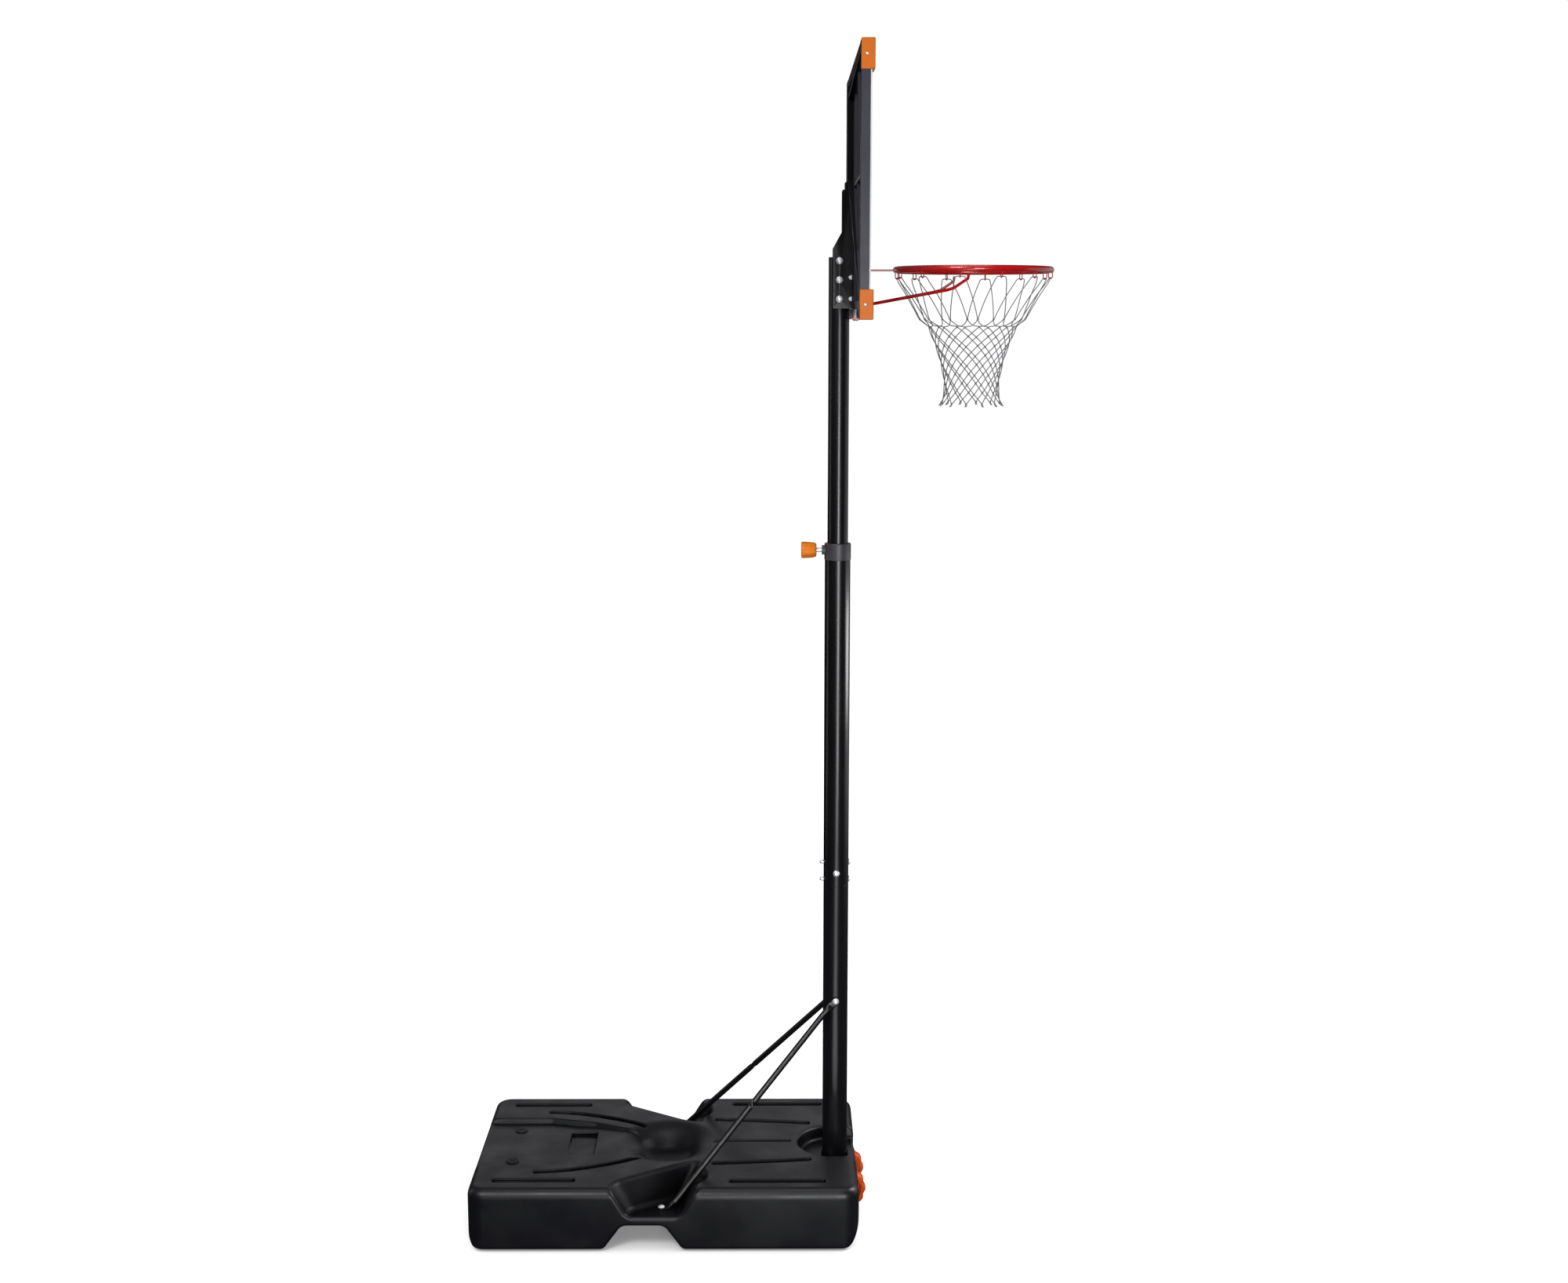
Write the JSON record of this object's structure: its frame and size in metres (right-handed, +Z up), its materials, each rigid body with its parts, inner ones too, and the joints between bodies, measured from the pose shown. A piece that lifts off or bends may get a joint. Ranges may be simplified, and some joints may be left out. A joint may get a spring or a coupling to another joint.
{
  "type": "portable basketball stand",
  "caption": "Portable basketball stand: hollow ballast base with wheels, telescoping pole with side struts, ribbed backboard, red rim on a folded bracket and a cord net.",
  "frame": {"origin": "bounding box bottom centre, on the floor", "axes": "+Z up the pole, +X the way the board and rim face, +Y across the board"},
  "size_m": [1.83, 1.1006, 3.6593],
  "materials": {
    "base_plastic": "moulded, low sheen",
    "black_steel": "gloss powder coat",
    "frame_plastic": "moulded, satin",
    "collar_plastic": "moulded, satin",
    "orange_plastic": "moulded, satin gloss",
    "wheel_plastic": "moulded, satin gloss",
    "panel_sheet": "smooth sheet",
    "rim_paint": "gloss powder coat",
    "zinc": "zinc plated",
    "net_cord": "braided cord",
    "black_rubber": "matt"
  },
  "bodies": {
    "stand": {"axle_end_cap_left": "zinc", "axle_end_cap_right": "zinc", "base_tank": "base_plastic", "height_collar": "collar_plastic", "pole_lower": "black_steel", "pole_middle": "black_steel", "seam_cross_bolt": "zinc", "seam_cross_nut": "zinc", "seam_high_bolt": "zinc", "seam_high_nut": "zinc", "seam_low_bolt": "zinc", "seam_low_nut": "zinc", "strut_base_left_bolt": "zinc", "strut_base_right_bolt": "zinc", "strut_left": "black_steel", "strut_pole_bolt": "zinc", "strut_pole_nut": "zinc", "strut_right": "black_steel", "wheel_axle": "zinc"},
    "upper": {"board_frame": "frame_plastic", "board_panel": "panel_sheet", "bracket_high_bolt": "zinc", "bracket_high_nut": "zinc", "bracket_low_bolt": "zinc", "bracket_low_nut": "zinc", "bracket_middle_bolt": "zinc", "bracket_middle_nut": "zinc", "cap_screw_bottom_left": "zinc", "cap_screw_bottom_right": "zinc", "cap_screw_top_left": "zinc", "cap_screw_top_right": "zinc", "corner_cap_bottom_left": "orange_plastic", "corner_cap_bottom_right": "orange_plastic", "corner_cap_top_left": "orange_plastic", "corner_cap_top_right": "orange_plastic", "net": "net_cord", "pole_bracket_left": "black_steel", "pole_bracket_right": "black_steel", "pole_guide_bush": "collar_plastic", "pole_top_cap": "black_rubber", "pole_upper": "black_steel", "rim_bracket": "rim_paint", "rim_high_left_bolt": "zinc", "rim_high_left_nut": "zinc", "rim_high_right_bolt": "zinc", "rim_high_right_nut": "zinc", "rim_hook_bolt": "zinc", "rim_low_left_bolt": "zinc", "rim_low_left_nut": "zinc", "rim_low_right_bolt": "zinc", "rim_low_right_nut": "zinc", "rim_ring": "rim_paint"},
    "plug_left": {"filler_plug_left": "black_rubber"},
    "plug_right": {"filler_plug_right": "black_rubber"},
    "wheel_left": {"wheel_left": "wheel_plastic"},
    "wheel_right": {"wheel_right": "wheel_plastic"},
    "clamp_screw": {"lock_screw": "zinc"},
    "clamp_knob": {"lock_knob": "orange_plastic"}
  },
  "joints": [
    {"name": "height_slide", "type": "slide", "parent": "stand", "child": "upper", "axis": [0, 0, 1], "range_m": [-0.61, 0]},
    {"name": "knob_turn", "type": "hinge", "parent": "clamp_screw", "child": "clamp_knob", "pos_m": [0.163, 0, 2.172], "axis": [-1, 0, 0], "range_deg": [0, 1080]},
    {"name": "screw_slide", "type": "slide", "parent": "stand", "child": "clamp_screw", "axis": [-1, 0, 0], "range_m": [0, 0.006]},
    {"name": "wheel_left_spin", "type": "hinge", "parent": "stand", "child": "wheel_left", "pos_m": [0.2775, 0.08, 0.078], "axis": [0, 1, 0], "continuous": true},
    {"name": "wheel_right_spin", "type": "hinge", "parent": "stand", "child": "wheel_right", "pos_m": [0.2775, -0.08, 0.078], "axis": [0, 1, 0], "continuous": true},
    {"name": "plug_left_lift", "type": "slide", "parent": "stand", "child": "plug_left", "axis": [0, 0, 1], "range_m": [0, 0.025]},
    {"name": "plug_right_lift", "type": "slide", "parent": "stand", "child": "plug_right", "axis": [0, 0, 1], "range_m": [0, 0.025]}
  ],
  "couplings": [
    {"joint": "knob_turn", "follows": "screw_slide", "rad_per_m": 3141.6}
  ]
}
